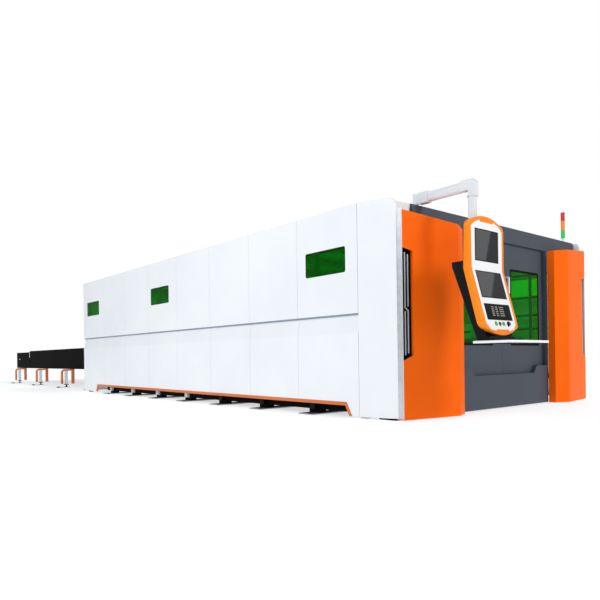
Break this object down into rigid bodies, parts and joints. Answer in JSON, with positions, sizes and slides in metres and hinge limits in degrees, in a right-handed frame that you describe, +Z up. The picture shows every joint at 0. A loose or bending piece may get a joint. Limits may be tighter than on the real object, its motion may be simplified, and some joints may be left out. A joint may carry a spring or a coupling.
{
  "type": "fiber laser cutting machine",
  "caption": "Enclosed sheet-metal laser cutting machine with sliding front doors, a swinging console and a two-level pallet exchange table.",
  "frame": {"origin": "bottom centre of the whole machine's bounding box, on the floor", "axes": "+X towards the operator's console end, +Y across the machine away from the console, +Z up"},
  "size_m": [17.8669, 4.72, 2.885],
  "materials": {
    "white_panel": "smooth gloss powder coat",
    "orange_panel": "smooth gloss powder coat",
    "slate_panel": "satin powder coat",
    "black_paint": "satin powder coat",
    "frame_grey": "satin paint",
    "trim_orange": "satin powder coat",
    "green_glass": "tinted laser-safe sheet",
    "door_glass": "tinted laser-safe sheet",
    "bare_steel": "ground",
    "slat_steel": "mill finish",
    "beam_aluminium": "cast and milled",
    "arm_white": "gloss powder coat",
    "amber_plastic": "moulded",
    "face_white": "smooth",
    "dark_screen": "glossy",
    "key_black": "fine texture",
    "case_black": "satin powder coat",
    "green_cap": "moulded",
    "red_cap": "moulded",
    "signal_red": "moulded lens",
    "signal_amber": "moulded lens",
    "signal_green": "moulded lens",
    "light_plate": "zinc plated"
  },
  "bodies": {
    "machine": {"near_side_panels": "white_panel", "far_side_panels": "white_panel", "side_windows": "green_glass", "skirt_trims": "trim_orange", "near_front_corner": "white_panel", "far_front_corner": "white_panel", "rear_wall": "white_panel", "roof_panels": "white_panel", "front_fascia": "slate_panel", "near_pillar_cover": "orange_panel", "far_pillar_cover": "orange_panel", "vent_inserts": "black_paint", "vent_strips": "frame_grey", "front_skirt": "slate_panel", "enclosure_frame": "frame_grey", "wall_sills": "black_paint", "wall_blocks": "frame_grey", "floor_plates": "light_plate", "door_track": "black_paint", "machine_bed": "black_paint", "bed_rails": "bare_steel", "pallet_tracks": "black_paint", "table_frame": "black_paint", "support_arches": "trim_orange", "support_posts": "frame_grey", "levelling_feet": "black_paint", "exchange_motor": "case_black", "console_arm_base": "arm_white", "signal_light_base": "face_white", "signal_light_green": "signal_green", "signal_light_amber": "signal_amber", "signal_light_red": "signal_red"},
    "gantry": {"gantry_beam": "beam_aluminium", "cross_rails": "bare_steel"},
    "carriage": {"head_carriage": "beam_aluminium"},
    "head": {"lift_slide": "black_paint", "cutting_head": "bare_steel"},
    "upper_pallet": {"upper_pallet_frame": "black_paint", "upper_pallet_slats": "slat_steel"},
    "lower_pallet": {"lower_pallet_frame": "black_paint", "lower_pallet_slats": "slat_steel"},
    "exchange_drive": {"exchange_shaft": "bare_steel"},
    "left_door": {"left_door_leaf": "slate_panel", "left_door_pane": "door_glass", "left_door_handle": "face_white"},
    "right_door": {"right_door_leaf": "slate_panel", "right_door_pane": "door_glass", "right_door_handle": "face_white"},
    "arm": {"console_arm": "arm_white"},
    "pendant": {"drop_tube": "arm_white", "pendant_back_box": "case_black", "pendant_shell": "amber_plastic", "face_plate": "face_white", "screens": "dark_screen", "keypad": "key_black", "keyboard_tray": "face_white"},
    "start_button": {"start_button": "green_cap"},
    "stop_button": {"stop_button": "red_cap"},
    "feed_button": {"feed_button": "green_cap"},
    "knob": {"control_knob": "key_black"}
  },
  "joints": [
    {"name": "gantry_travel", "type": "slide", "parent": "machine", "child": "gantry", "axis": [-1, 0, 0], "range_m": [0, 6.25]},
    {"name": "carriage_travel", "type": "slide", "parent": "gantry", "child": "carriage", "axis": [0, 1, 0], "range_m": [-1.25, 1.25]},
    {"name": "head_lift", "type": "slide", "parent": "carriage", "child": "head", "axis": [0, 0, 1], "range_m": [-0.12, 0.02]},
    {"name": "upper_pallet_travel", "type": "slide", "parent": "machine", "child": "upper_pallet", "axis": [1, 0, 0], "range_m": [0, 7.3]},
    {"name": "lower_pallet_travel", "type": "slide", "parent": "machine", "child": "lower_pallet", "axis": [1, 0, 0], "range_m": [-7.3, 0]},
    {"name": "exchange_drive_turn", "type": "hinge", "parent": "machine", "child": "exchange_drive", "pos_m": [-8.4835, 0, 0.72], "axis": [0, 1, 0], "range_deg": [-10, 6000]},
    {"name": "left_door_slide", "type": "slide", "parent": "machine", "child": "left_door", "axis": [0, -1, 0], "range_m": [0, 0.9]},
    {"name": "right_door_slide", "type": "slide", "parent": "machine", "child": "right_door", "axis": [0, 1, 0], "range_m": [0, 0.9]},
    {"name": "console_arm_swing", "type": "hinge", "parent": "machine", "child": "arm", "pos_m": [7.5515, -1.6, 2.49], "axis": [0, 0, 1], "range_deg": [-20, 20]},
    {"name": "pendant_swivel", "type": "hinge", "parent": "arm", "child": "pendant", "pos_m": [8.3025, -1.6, 2.3], "axis": [0, 0, 1], "range_deg": [-40, 40]},
    {"name": "start_button_press", "type": "slide", "parent": "pendant", "child": "start_button", "axis": [-0.9659, 0, -0.2588], "range_m": [0, 0.004], "stiffness_N_per_m": 600, "springref_m": -0.002},
    {"name": "stop_button_press", "type": "slide", "parent": "pendant", "child": "stop_button", "axis": [-0.9659, 0, -0.2588], "range_m": [0, 0.004], "stiffness_N_per_m": 600, "springref_m": -0.002},
    {"name": "feed_button_press", "type": "slide", "parent": "pendant", "child": "feed_button", "axis": [-0.9659, 0, -0.2588], "range_m": [0, 0.004], "stiffness_N_per_m": 600, "springref_m": -0.002},
    {"name": "knob_turn", "type": "hinge", "parent": "pendant", "child": "knob", "pos_m": [8.61816, -1.474, 1.002], "axis": [0.9659, 0, 0.2588], "range_deg": [-45, 45]}
  ],
  "couplings": [
    {"joint": "lower_pallet_travel", "follows": "upper_pallet_travel", "ratio": -1},
    {"joint": "exchange_drive_turn", "follows": "upper_pallet_travel", "rad_per_m": 14.286}
  ]
}
